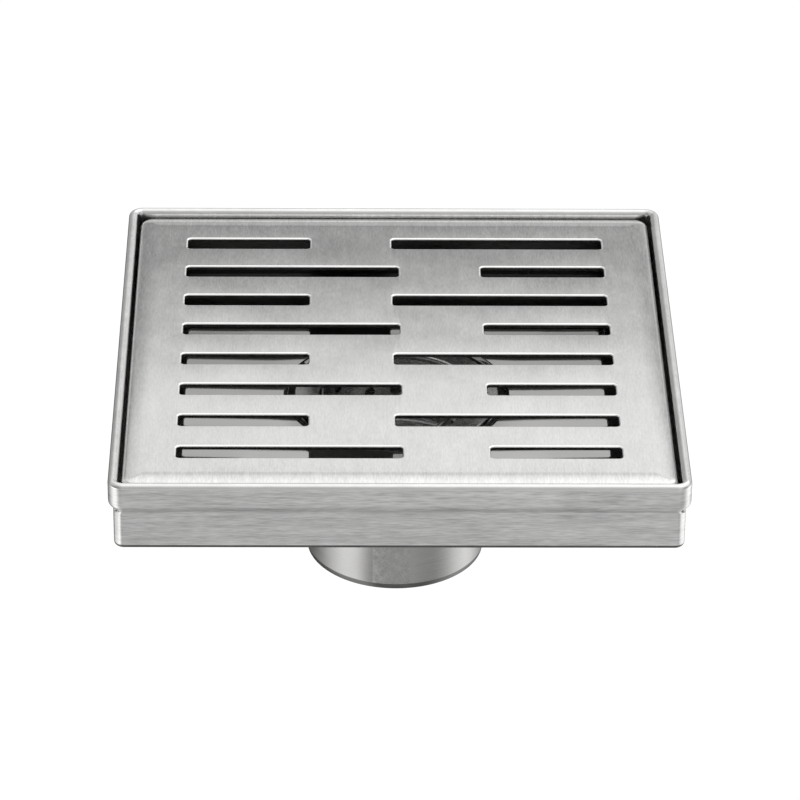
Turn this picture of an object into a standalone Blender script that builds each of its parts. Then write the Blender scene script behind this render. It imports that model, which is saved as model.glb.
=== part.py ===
"""Square shower floor drain: a folded steel tray with an outlet pipe, a slotted lift-out grate on
rubber feet, and a perforated hair strainer with a swinging wire bail.

Units are metres and +Z is up. The origin is the centre of the outlet pipe's lower end, and the
slots run along X.
"""

from math import cos, hypot, pi, radians, sin, sqrt, tan

import bmesh
import bpy
from mathutils import Matrix, Vector

MM = 0.001
COLLECTION = "floor_drain"
GAP = 0.3 * MM  # clearance between pieces that touch on the real drain

# Tray
SHEET = 1.2 * MM
RIM_Z = 65.5 * MM
TRAY_HALF = 76.2 * MM
HEM_THICKNESS = 2.5 * MM
BAND_HEIGHT = 7.3 * MM
JOGGLE_HEIGHT = 1.6 * MM
TRAY_CORNER = 4.0 * MM
SHARPEST_CORNER = 0.5 * MM
TRAY_DEPTH = 20.2 * MM
FLOOR_DEPTH = 16.7 * MM
FLOOR_FALL = 0.4 * MM
FLOOR_BEND = 2.0 * MM
FOOT_BEND = 1.2 * MM
FOOT_EDGE = 0.3 * MM
RECESS_OUTER = 31.0 * MM
RECESS_INNER = 30.0 * MM
NOTCH_DEPTH = 0.75 * MM
NOTCH_HEIGHT = 1.2 * MM
CORNER_STEPS = 4  # even, so that one point of each ring lies on the diagonal
SIDE_STEPS = 8

# Outlet pipe
PIPE_RADIUS = 25.0 * MM
PIPE_WALL = 1.6 * MM
PIPE_CHAMFER = 0.45 * MM
PIPE_CHAMFER_HEIGHT = 1.7 * MM
WELD_LEG = 2.3 * MM
WELD_BELLY = 0.65  # how far along each leg the bead's middle point lies
CORNER_WELD_RADIUS = 0.4 * MM
ROUND_STEPS = 48

# Grate
GRATE_HALF = 72.85 * MM
GRATE_DROP = 1.4 * MM
GRATE_CORNER = 4.0 * MM
FLANGE_DEPTH = 6.0 * MM
CROWN_ANGLE = radians(8)
CROWN_RADIUS = 36.0 * MM
BEND_RADIUS = 1.4 * MM
SLOT_WIDTH = 5.8 * MM
SLOT_PITCH = 16.2 * MM
SLOT_ROWS = 8
SLOT_REACH = 58.8 * MM
SHORT_SLOT = 34.7 * MM
LONG_SLOT = 59.7 * MM
SLOT_CORNER = 1.0 * MM
SLOT_EDGE = 0.5 * MM
SLOT_EDGE_MIDDLE = 0.15 * MM
CUTTER_ABOVE = 0.8 * MM
CUTTER_CORNER_STEPS = 2

# Grate legs and feet
LEG_INSIDE = 60.2 * MM
LEG_TAB = 6.0 * MM
LEG_WIDTH = 12.0 * MM
LEG_CENTRE_Y = 60.0 * MM
LEG_SHEET = 1.0 * MM
LEG_EDGE = 0.2 * MM
FOOT_HEIGHT = 2.4 * MM
FOOT_EDGE_ROUND = 0.5 * MM

# Hair strainer and its bail
CUP_SHEET = 0.8 * MM
FLANGE_RADIUS = 28.0 * MM
CUP_INNER = 21.0 * MM
CUP_DEPTH = 22.0 * MM
MOUTH_BEND = 1.5 * MM
BASE_BEND = 3.0 * MM
HOLE_RADIUS = 1.5 * MM
HOLE_PITCH = 5.2 * MM
HOLE_RINGS = 3
WALL_HOLES = 18
WALL_HOLE_DROPS = (6.5 * MM, 11.5 * MM, 16.5 * MM)
HOLE_SIDES = 8
WIRE_RADIUS = 1.0 * MM
BAIL_HALF_WIDTH = 16.5 * MM
BAIL_HEIGHT = 13.2 * MM
BAIL_DROP = 2.2 * MM
BAIL_BEND_X = 0.75 * MM
BAIL_BEND_Z = 0.55 * MM
BAIL_ARCH_START = radians(190)
BAIL_ARCH_END = radians(350)
BAIL_ARCH_STEPS = 18
BAIL_TIP = 0.1 * MM  # how far the wire's ends stand out of the ears
EAR_SIZE = 5.0 * MM
EAR_SHEET = 0.6 * MM
EAR_EDGE = 0.15 * MM
EAR_CLEARANCE = 0.3 * MM
EAR_TO_WALL = 0.45 * MM
EAR_HOLE_SIDES = 16

# Worked out from the sizes above
TRAY_INNER = TRAY_HALF - HEM_THICKNESS
WALL_HALF = TRAY_INNER + SHEET
FLOOR_Z = RIM_Z - FLOOR_DEPTH
RECESS_TOP_Z = FLOOR_Z - FLOOR_FALL
LEDGE_Z = RECESS_TOP_Z - CUP_SHEET - GAP
PIPE_BORE = PIPE_RADIUS - PIPE_WALL
PIPE_TOP_Z = LEDGE_Z - SHEET - GAP
GRATE_TOP_Z = RIM_Z - GRATE_DROP
CROWN_START = GRATE_HALF - CROWN_RADIUS * sin(CROWN_ANGLE) - BEND_RADIUS * (1 - sin(CROWN_ANGLE))
LEG_TOP_Z = GRATE_TOP_Z - SHEET - GAP
LEG_BASE_Z = FLOOR_Z + GAP + FOOT_HEIGHT + GAP
STRAINER_TOP_Z = LEDGE_Z + GAP + CUP_SHEET
BAIL_Z = STRAINER_TOP_Z - BAIL_DROP
EAR_CENTRE_X = CUP_INNER - EAR_TO_WALL - EAR_SHEET / 2

STEEL = {"colour": (0.62, 0.62, 0.61), "roughness": 0.32, "metallic": 1.0}
PAN_STEEL = {"colour": (0.66, 0.66, 0.65), "roughness": 0.18, "metallic": 1.0}
WELD_STEEL = {"colour": (0.48, 0.48, 0.47), "roughness": 0.45, "metallic": 1.0}
RUBBER = {"colour": (0.03, 0.03, 0.03), "roughness": 0.8, "metallic": 0.0}


def clear_scene():
    for obj in list(bpy.data.objects):
        bpy.data.objects.remove(obj, do_unlink=True)


def new_collection(name):
    collection = bpy.data.collections.new(name)
    bpy.context.scene.collection.children.link(collection)
    return collection


def new_material(name, look):
    material = bpy.data.materials.new(name)
    material.use_nodes = True
    shader = material.node_tree.nodes["Principled BSDF"]
    shader.inputs["Base Color"].default_value = (*look["colour"], 1.0)
    shader.inputs["Roughness"].default_value = look["roughness"]
    shader.inputs["Metallic"].default_value = look["metallic"]
    return material


def mesh_object(name, bm, look, smooth_angle=radians(35)):
    """Turns a bmesh into a named part with its own material."""
    mesh = bpy.data.meshes.new(name)
    bm.to_mesh(mesh)
    bm.free()
    if smooth_angle:
        mesh.shade_smooth()
        mesh.set_sharp_from_angle(angle=smooth_angle)
    obj = bpy.data.objects.new(name, mesh)
    obj.data.materials.append(new_material(name, look))
    PARTS.objects.link(obj)
    return obj


def cutter_object(name, bm):
    mesh = bpy.data.meshes.new(name)
    bmesh.ops.recalc_face_normals(bm, faces=bm.faces)
    bm.to_mesh(mesh)
    bm.free()
    obj = bpy.data.objects.new(name, mesh)
    obj.hide_render = True
    obj.display_type = "WIRE"
    CUTTERS.objects.link(obj)
    return obj


def cut(obj, cutter):
    boolean = obj.modifiers.new("cut", "BOOLEAN")
    boolean.operation = "DIFFERENCE"
    boolean.solver = "EXACT"
    boolean.object = cutter


def bevel(obj, width, segments=2):
    rounding = obj.modifiers.new("rounding", "BEVEL")
    rounding.width = width
    rounding.segments = segments
    rounding.limit_method = "ANGLE"
    rounding.angle_limit = radians(30)


def square_ring(half, radius, z):
    """Points round a square with rounded corners, from the corner at +X+Y."""
    points = []
    centre = half - radius
    for quarter in range(4):
        turn = Matrix.Rotation(quarter * pi / 2, 3, "Z")
        for step in range(CORNER_STEPS + 1):
            angle = step / CORNER_STEPS * pi / 2
            points.append(turn @ Vector((centre + radius * cos(angle), centre + radius * sin(angle), z)))
        for step in range(1, SIDE_STEPS):
            along = centre * (1 - 2 * step / SIDE_STEPS)
            points.append(turn @ Vector((along, half, z)))
    return points


def round_ring(radius, z):
    """As many points round a circle as square_ring makes, in step with its corners."""
    count = 4 * (CORNER_STEPS + SIDE_STEPS)
    start = pi / 4 - CORNER_STEPS / 2 * 2 * pi / count
    angles = [start + 2 * pi * k / count for k in range(count)]
    return [Vector((radius * cos(a), radius * sin(a), z)) for a in angles]


def inset_ring(outer_half, outer_corner, half, z):
    """A square ring parallel to an outer one, its corner radius smaller by the inset."""
    return square_ring(half, max(outer_corner - (outer_half - half), SHARPEST_CORNER), z)


def arc(centre_x, centre_z, radius, start, end, steps):
    """Section points (x, z) along an arc, both ends included."""
    angles = [start + (end - start) * k / steps for k in range(steps + 1)]
    return [(centre_x + radius * cos(a), centre_z + radius * sin(a)) for a in angles]


def loft(rings, ring_of_faces):
    """Skins rings of equal count. ring_of_faces joins the last ring to the first, else both are capped."""
    bm = bmesh.new()
    levels = [[bm.verts.new(point) for point in ring] for ring in rings]
    count = len(rings[0])
    last = len(levels) if ring_of_faces else len(levels) - 1
    for i in range(last):
        upper = levels[i]
        lower = levels[(i + 1) % len(levels)]
        for j in range(count):
            k = (j + 1) % count
            bm.faces.new((upper[j], lower[j], lower[k], upper[k]))
    if not ring_of_faces:
        bm.faces.new(levels[0])
        bm.faces.new(reversed(levels[-1]))
    bmesh.ops.recalc_face_normals(bm, faces=bm.faces)
    return bm


def turned(name, profile, look, closed):
    """A part turned about Z from a profile of (radius, z) that runs down its outer side."""
    mesh = bpy.data.meshes.new(name)
    edges = [(i, i + 1) for i in range(len(profile) - 1)]
    if closed:
        edges.append((len(profile) - 1, 0))
    mesh.from_pydata([(r, 0, z) for r, z in profile], edges, [])
    obj = bpy.data.objects.new(name, mesh)
    obj.data.materials.append(new_material(name, look))
    PARTS.objects.link(obj)
    screw = obj.modifiers.new("turn", "SCREW")
    screw.steps = ROUND_STEPS
    screw.render_steps = ROUND_STEPS
    screw.use_merge_vertices = True
    screw.merge_threshold = 0.00001
    screw.use_smooth_shade = True
    return obj


def notch(ring):
    """Pulls in the diagonal point of each corner, which leaves room for the corner weld."""
    for quarter in range(4):
        point = ring[quarter * (CORNER_STEPS + SIDE_STEPS) + CORNER_STEPS // 2]
        inward = Vector((-point.x, -point.y, 0)).normalized()
        point += inward * NOTCH_DEPTH


def make_tray_pan():
    """Hemmed rim, outer band, joggle, lower wall with a doubled foot, and a floor that falls to the outlet."""
    hem_radius = HEM_THICKNESS / 2
    hem = arc(TRAY_HALF - hem_radius, RIM_Z - hem_radius, hem_radius, pi, 0, 6)
    base_z = RIM_Z - TRAY_DEPTH
    foot_inner = WALL_HALF - 2 * SHEET
    joggle_end = RIM_Z - BAND_HEIGHT - JOGGLE_HEIGHT
    outside = hem + [
        (TRAY_HALF, RIM_Z - BAND_HEIGHT),
        (WALL_HALF, joggle_end),
        (WALL_HALF, joggle_end - NOTCH_HEIGHT),
    ]
    outside += arc(WALL_HALF - FOOT_BEND, base_z + FOOT_BEND, FOOT_BEND, 0, -pi / 2, 3)
    outside += [
        (foot_inner + FOOT_EDGE, base_z),
        (foot_inner, base_z + FOOT_EDGE),
        (foot_inner, FLOOR_Z - SHEET),
    ]
    cone_shift = SHEET * tan(pi / 8)
    outlet = [
        (RECESS_OUTER + cone_shift, RECESS_TOP_Z - SHEET),
        (RECESS_INNER + cone_shift, LEDGE_Z - SHEET),
        (PIPE_BORE, LEDGE_Z - SHEET),
        (PIPE_BORE, LEDGE_Z),
        (RECESS_INNER, LEDGE_Z),
        (RECESS_OUTER, RECESS_TOP_Z),
    ]
    inside = arc(TRAY_INNER - FLOOR_BEND, FLOOR_Z + FLOOR_BEND, FLOOR_BEND, -pi / 2, 0, 3)
    rings = [inset_ring(TRAY_HALF, TRAY_CORNER, x, z) for x, z in outside]
    notch(rings[outside.index((WALL_HALF, joggle_end))])
    rings += [round_ring(r, z) for r, z in outlet]
    rings += [inset_ring(TRAY_HALF, TRAY_CORNER, x, z) for x, z in inside]
    return mesh_object("tray_pan", loft(rings, ring_of_faces=True), PAN_STEEL)


def make_corner_welds():
    """A small bead in the notch under the band at each corner of the tray."""
    corner = TRAY_CORNER - (TRAY_HALF - WALL_HALF)
    reach = corner - NOTCH_DEPTH + GAP + CORNER_WELD_RADIUS
    wall = WALL_HALF - corner + reach / sqrt(2)
    z = RIM_Z - BAND_HEIGHT - JOGGLE_HEIGHT
    for name, sx, sy in CORNERS:
        bm = bmesh.new()
        bmesh.ops.create_uvsphere(bm, u_segments=12, v_segments=8, radius=CORNER_WELD_RADIUS)
        bead = mesh_object("corner_weld_" + name, bm, WELD_STEEL, smooth_angle=pi)
        bead.location = (sx * wall, sy * wall, z)


def make_outlet_pipe():
    profile = [
        (PIPE_RADIUS, PIPE_TOP_Z),
        (PIPE_RADIUS, PIPE_CHAMFER_HEIGHT),
        (PIPE_RADIUS - PIPE_CHAMFER, 0.0),
        (PIPE_BORE, 0.0),
        (PIPE_BORE, PIPE_TOP_Z),
    ]
    turned("outlet_pipe", profile, STEEL, closed=True)


def make_pipe_weld():
    """The fillet bead between the tray's outlet and the pipe."""
    inner = PIPE_RADIUS + GAP
    profile = [
        (inner + WELD_LEG, PIPE_TOP_Z),
        (inner + WELD_BELLY * WELD_LEG, PIPE_TOP_Z - WELD_BELLY * WELD_LEG),
        (inner, PIPE_TOP_Z - WELD_LEG),
        (inner, PIPE_TOP_Z),
    ]
    turned("pipe_weld_ring", profile, WELD_STEEL, closed=True)


def grate_section(offset):
    """Section of the grate's edge, outwards and down, at a depth below its outer surface."""
    crown_z = GRATE_TOP_Z - CROWN_RADIUS
    crown = arc(CROWN_START, crown_z, CROWN_RADIUS - offset, pi / 2, pi / 2 - CROWN_ANGLE, 4)
    bend_x = CROWN_START + (CROWN_RADIUS - BEND_RADIUS) * sin(CROWN_ANGLE)
    bend_z = crown_z + (CROWN_RADIUS - BEND_RADIUS) * cos(CROWN_ANGLE)
    bend = arc(bend_x, bend_z, BEND_RADIUS - offset, pi / 2 - CROWN_ANGLE, 0, 4)
    return crown + bend[1:]


def slot_cutter():
    """All slots as rounded prisms that flare out at the grate's top face."""
    bm = bmesh.new()
    sides = (
        (SLOT_EDGE, CUTTER_ABOVE),
        (SLOT_EDGE, 0.0),
        (SLOT_EDGE_MIDDLE, -SLOT_EDGE_MIDDLE),
        (0.0, -SLOT_EDGE),
        (0.0, -2 * SHEET),
    )
    for row in range(SLOT_ROWS):
        y = (SLOT_ROWS - 1 - 2 * row) / 2 * SLOT_PITCH
        left, right = (SHORT_SLOT, LONG_SLOT) if row % 2 == 0 else (LONG_SLOT, SHORT_SLOT)
        for x, length in ((left / 2 - SLOT_REACH, left), (SLOT_REACH - right / 2, right)):
            levels = []
            for grow, z in sides:
                outline = slot_outline(x, y, length + 2 * grow, SLOT_WIDTH + 2 * grow, SLOT_CORNER + grow)
                levels.append([bm.verts.new((px, py, GRATE_TOP_Z + z)) for px, py in outline])
            count = len(levels[0])
            for upper, lower in zip(levels, levels[1:]):
                for j in range(count):
                    k = (j + 1) % count
                    bm.faces.new((upper[j], lower[j], lower[k], upper[k]))
            bm.faces.new(levels[0])
            bm.faces.new(reversed(levels[-1]))
    return cutter_object("slot_cutter", bm)


def slot_outline(x, y, length, width, radius):
    points = []
    for quarter, (sx, sy) in enumerate(((1, 1), (-1, 1), (-1, -1), (1, -1))):
        corner_x = x + sx * (length / 2 - radius)
        corner_y = y + sy * (width / 2 - radius)
        start = quarter * pi / 2
        points += arc(corner_x, corner_y, radius, start, start + pi / 2, CUTTER_CORNER_STEPS)
    return points


def make_grate_plate():
    """Slotted plate with a crowned border and turned-down edges."""
    flange_z = GRATE_TOP_Z - FLANGE_DEPTH
    outer = grate_section(0.0) + [(GRATE_HALF, flange_z)]
    inner = [(GRATE_HALF - SHEET, flange_z)] + grate_section(SHEET)[::-1]
    rings = [inset_ring(GRATE_HALF, GRATE_CORNER, x, z) for x, z in outer + inner]
    plate = mesh_object("grate_plate", loft(rings, ring_of_faces=False), STEEL)
    cut(plate, slot_cutter())


def make_legs_and_feet():
    """Four folded legs under the plate's corners, each on a rubber foot."""
    tab_x = LEG_INSIDE + LEG_TAB
    middle = LEG_SHEET / 2
    centre_line = (
        (tab_x, LEG_TOP_Z - middle),
        (LEG_INSIDE + middle, LEG_TOP_Z - middle),
        (LEG_INSIDE + middle, LEG_BASE_Z + middle),
        (tab_x, LEG_BASE_Z + middle),
    )
    for name, sx, sy in CORNERS:
        y_ends = (sy * LEG_CENTRE_Y - LEG_WIDTH / 2, sy * LEG_CENTRE_Y + LEG_WIDTH / 2)
        bm = bmesh.new()
        strips = [[bm.verts.new((sx * x, y, z)) for x, z in centre_line] for y in y_ends]
        for i in range(len(centre_line) - 1):
            bm.faces.new((strips[0][i], strips[0][i + 1], strips[1][i + 1], strips[1][i]))
        leg = mesh_object("grate_leg_" + name, bm, STEEL)
        folded = leg.modifiers.new("sheet", "SOLIDIFY")
        folded.thickness = LEG_SHEET
        folded.offset = 0.0
        folded.use_even_offset = True
        bevel(leg, LEG_EDGE, 1)

        bm = bmesh.new()
        bmesh.ops.create_cube(bm, size=1.0)
        bmesh.ops.scale(bm, vec=(LEG_TAB, LEG_WIDTH, FOOT_HEIGHT), verts=bm.verts)
        foot = mesh_object("grate_foot_" + name, bm, RUBBER)
        foot.location = (
            sx * (LEG_INSIDE + LEG_TAB / 2),
            sy * LEG_CENTRE_Y,
            FLOOR_Z + GAP + FOOT_HEIGHT / 2,
        )
        bevel(foot, FOOT_EDGE_ROUND)


def hole_centres():
    """Hexagonal pattern of drain holes in the strainer's base."""
    centres = []
    for i in range(-HOLE_RINGS, HOLE_RINGS + 1):
        for j in range(-HOLE_RINGS, HOLE_RINGS + 1):
            x = (i + j / 2) * HOLE_PITCH
            y = j * sqrt(3) / 2 * HOLE_PITCH
            if hypot(x, y) < (HOLE_RINGS + 0.1) * HOLE_PITCH and abs(i + j) <= HOLE_RINGS:
                centres.append((x, y))
    return centres


def strainer_cutter():
    bm = bmesh.new()
    base_z = STRAINER_TOP_Z - CUP_DEPTH
    for x, y in hole_centres():
        bmesh.ops.create_cone(
            bm, cap_ends=True, segments=HOLE_SIDES, radius1=HOLE_RADIUS, radius2=HOLE_RADIUS,
            depth=4 * CUP_SHEET, matrix=Matrix.Translation((x, y, base_z + CUP_SHEET / 2)),
        )
    for row, drop in enumerate(WALL_HOLE_DROPS):
        for k in range(WALL_HOLES):
            angle = 2 * pi * (k + 0.5 * (row % 2)) / WALL_HOLES
            place = (
                Matrix.Rotation(angle, 4, "Z")
                @ Matrix.Translation((CUP_INNER + CUP_SHEET / 2, 0, STRAINER_TOP_Z - drop))
                @ Matrix.Rotation(pi / 2, 4, "Y")
            )
            bmesh.ops.create_cone(
                bm, cap_ends=True, segments=HOLE_SIDES, radius1=HOLE_RADIUS, radius2=HOLE_RADIUS,
                depth=4 * CUP_SHEET, matrix=place,
            )
    return cutter_object("strainer_cutter", bm)


def make_strainer_cup():
    """Flanged cup that hangs in the outlet pipe, its wall and base full of holes."""
    top = STRAINER_TOP_Z
    base = top - CUP_DEPTH
    outer = CUP_INNER + CUP_SHEET
    inside = [(0.0, base + CUP_SHEET)]
    inside += arc(CUP_INNER - BASE_BEND, base + CUP_SHEET + BASE_BEND, BASE_BEND, -pi / 2, 0, 3)
    inside += arc(CUP_INNER + MOUTH_BEND, top - MOUTH_BEND, MOUTH_BEND, pi, pi / 2, 3)
    lip = [(FLANGE_RADIUS, top), (FLANGE_RADIUS, top - CUP_SHEET)]
    under_bend = MOUTH_BEND - CUP_SHEET
    outside = arc(outer + under_bend, top - MOUTH_BEND, under_bend, pi / 2, pi, 2)
    base_bend = BASE_BEND + CUP_SHEET
    outside += arc(outer - base_bend, base + base_bend, base_bend, 0, -pi / 2, 4)
    outside += [(0.0, base)]
    cup = turned("strainer_cup", inside + lip + outside, STEEL, closed=False)
    cut(cup, strainer_cutter())


def make_bail_ears():
    """Two small ears inside the cup's mouth that the bail turns in."""
    for name, side in (("left", -1), ("right", 1)):
        bm = bmesh.new()
        bmesh.ops.create_cube(bm, size=1.0)
        bmesh.ops.scale(bm, vec=(EAR_SHEET, EAR_SIZE, EAR_SIZE), verts=bm.verts)
        ear = mesh_object("bail_ear_" + name, bm, STEEL)
        ear.location = (side * EAR_CENTRE_X, 0, BAIL_Z)
        bm = bmesh.new()
        hole = WIRE_RADIUS + EAR_CLEARANCE
        bmesh.ops.create_cone(
            bm, cap_ends=True, segments=EAR_HOLE_SIDES, radius1=hole, radius2=hole, depth=4 * EAR_SHEET,
            matrix=Matrix.Translation(ear.location) @ Matrix.Rotation(pi / 2, 4, "Y"),
        )
        cut(ear, cutter_object("ear_cutter_" + name, bm))
        bevel(ear, EAR_EDGE, 1)


def bail_route():
    """The wire's centre line about its pivot: in through an ear, round a hanging arch and out again."""
    tip = EAR_CENTRE_X + EAR_SHEET / 2 + BAIL_TIP
    step = (BAIL_ARCH_END - BAIL_ARCH_START) / BAIL_ARCH_STEPS
    angles = [BAIL_ARCH_START + step * k for k in range(BAIL_ARCH_STEPS + 1)]
    arch = [(BAIL_HALF_WIDTH * cos(a), BAIL_HEIGHT * sin(a)) for a in angles]
    bend_x = BAIL_HALF_WIDTH + BAIL_BEND_X
    entry = [(-tip, 0.0), (-bend_x - 2 * BAIL_BEND_Z, 0.0), (-bend_x, -BAIL_BEND_Z)]
    leave = [(-x, z) for x, z in reversed(entry)]
    return entry + arch + leave


def make_bail():
    """The strainer's wire handle, hanging from its pivots."""
    curve = bpy.data.curves.new("strainer_bail", "CURVE")
    curve.dimensions = "3D"
    curve.bevel_depth = WIRE_RADIUS
    curve.bevel_resolution = 2
    curve.use_fill_caps = True
    route = bail_route()
    spline = curve.splines.new("POLY")
    spline.points.add(len(route) - 1)
    for point, (x, z) in zip(spline.points, route):
        point.co = (x, 0, z, 1)
    bail = bpy.data.objects.new("strainer_bail", curve)
    bail.data.materials.append(new_material("strainer_bail", STEEL))
    bail.location = (0, 0, BAIL_Z)
    PARTS.objects.link(bail)


clear_scene()
PARTS = new_collection(COLLECTION)
CUTTERS = new_collection("cutters")
CORNERS = (
    ("front_left", -1, -1),
    ("front_right", 1, -1),
    ("rear_left", -1, 1),
    ("rear_right", 1, 1),
)

make_tray_pan()
make_corner_welds()
make_outlet_pipe()
make_pipe_weld()
make_grate_plate()
make_legs_and_feet()
make_strainer_cup()
make_bail_ears()
make_bail()
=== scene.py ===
from math import atan2, cos, exp, hypot, pi, radians, sin, sqrt, tan

import bmesh
import bpy
from mathutils import Matrix, Vector


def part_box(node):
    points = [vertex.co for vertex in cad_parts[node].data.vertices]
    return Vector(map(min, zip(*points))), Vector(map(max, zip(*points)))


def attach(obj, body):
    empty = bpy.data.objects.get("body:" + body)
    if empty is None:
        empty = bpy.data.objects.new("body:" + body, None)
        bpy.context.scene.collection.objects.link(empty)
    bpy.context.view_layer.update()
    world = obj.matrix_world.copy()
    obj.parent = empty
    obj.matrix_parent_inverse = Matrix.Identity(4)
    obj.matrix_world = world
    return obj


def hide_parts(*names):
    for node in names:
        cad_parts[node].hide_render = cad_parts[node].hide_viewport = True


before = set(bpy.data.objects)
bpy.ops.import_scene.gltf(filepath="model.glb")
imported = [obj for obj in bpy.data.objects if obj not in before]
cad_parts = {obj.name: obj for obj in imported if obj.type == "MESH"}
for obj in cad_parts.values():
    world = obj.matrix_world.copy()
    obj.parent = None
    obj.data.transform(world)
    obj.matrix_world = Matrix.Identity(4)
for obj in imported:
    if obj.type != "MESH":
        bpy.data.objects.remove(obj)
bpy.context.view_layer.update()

MM = 0.001

# Sizes read from the frame
TRAY_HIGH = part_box("tray_pan")[1]
PLATE_LOW, PLATE_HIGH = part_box("grate_plate")
PIPE_LOW, PIPE_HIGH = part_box("outlet_pipe")
WELD_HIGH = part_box("pipe_weld_ring")[1]
CUP_LOW, CUP_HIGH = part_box("strainer_cup")
BAIL_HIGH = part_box("strainer_bail")[1]
RIM_Z = TRAY_HIGH.z
TRAY_HALF = TRAY_HIGH.x
GRATE_TOP_Z = PLATE_HIGH.z
GRATE_HALF = PLATE_HIGH.x
FLANGE_Z = PLATE_LOW.z
# Each corner's name and the sign of its X
CORNERS = (("front_left", -1), ("front_right", 1), ("rear_left", -1), ("rear_right", 1))

# Sizes the CAD was made with
SHEET = 1.2 * MM
HEM_THICKNESS = 2.5 * MM
TRAY_CORNER = 4.0 * MM
SHARPEST_CORNER = 0.5 * MM
TRAY_DEPTH = 20.2 * MM
FLOOR_DEPTH = 16.7 * MM
FLOOR_FALL = 0.4 * MM
FLOOR_BEND = 2.0 * MM
FOOT_BEND = 1.2 * MM
FOOT_EDGE = 0.3 * MM
RECESS_OUTER = 31.0 * MM
RECESS_INNER = 30.0 * MM
RECESS_DEPTH = 1.1 * MM
PIPE_WALL = 1.6 * MM
PIPE_CHAMFER = 0.45 * MM
PIPE_CHAMFER_HEIGHT = 1.7 * MM
GRATE_CORNER = 4.0 * MM
CROWN_ANGLE = radians(8)
CROWN_RADIUS = 36.0 * MM
BEND_RADIUS = 1.4 * MM
SLOT_WIDTH = 5.8 * MM
SLOT_PITCH = 16.2 * MM
SLOT_ROWS = 8
SLOT_REACH = 58.8 * MM
SHORT_SLOT = 34.7 * MM
LONG_SLOT = 59.7 * MM
SLOT_CORNER = 1.0 * MM
SLOT_EDGE = 0.5 * MM

TRAY_INNER = TRAY_HALF - HEM_THICKNESS
WALL_HALF = TRAY_INNER + SHEET
FLOOR_Z = RIM_Z - FLOOR_DEPTH
RECESS_TOP_Z = FLOOR_Z - FLOOR_FALL
LEDGE_Z = RECESS_TOP_Z - RECESS_DEPTH
CROWN_START = GRATE_HALF - CROWN_RADIUS * sin(CROWN_ANGLE) - BEND_RADIUS * (1 - sin(CROWN_ANGLE))


# ---------------------------------------------------------------- materials

# Nearly all of a noise texture's values lie between these
NOISE_RANGE = (0.3, 0.7)
# How much of the streaks is fine, the rest being four times as broad
FINE_SHARE = 0.6
BROAD_SCALE = 4


def node(tree, kind, **settings):
    made = tree.nodes.new(kind)
    for key, value in settings.items():
        setattr(made, key, value)
    return made


def math_node(tree, operation, a, b=None):
    made = node(tree, "ShaderNodeMath", operation=operation)
    for socket, value in zip(made.inputs, (a, b)):
        if value is None:
            continue
        if isinstance(value, (int, float)):
            socket.default_value = value
        else:
            tree.links.new(value, socket)
    return made.outputs[0]


def noise(tree, scale, detail=2.0, roughness=0.5):
    """Noise over the piece, scale per metre along each axis. Returns the value output."""
    place = node(tree, "ShaderNodeTexCoord")
    stretch = node(tree, "ShaderNodeVectorMath", operation="MULTIPLY")
    stretch.inputs[1].default_value = scale
    tree.links.new(place.outputs["Object"], stretch.inputs[0])
    texture = node(tree, "ShaderNodeTexNoise")
    texture.inputs["Scale"].default_value = 1.0
    texture.inputs["Detail"].default_value = detail
    texture.inputs["Roughness"].default_value = roughness
    tree.links.new(stretch.outputs[0], texture.inputs["Vector"])
    return texture.outputs[0]


def spread(tree, value, low, high, to_low, to_high):
    """Maps low..high onto to_low..to_high, held at the ends."""
    made = node(tree, "ShaderNodeMapRange")
    for socket, number in zip(made.inputs[1:5], (low, high, to_low, to_high)):
        socket.default_value = number
    tree.links.new(value, made.inputs[0])
    return made.outputs[0]


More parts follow.
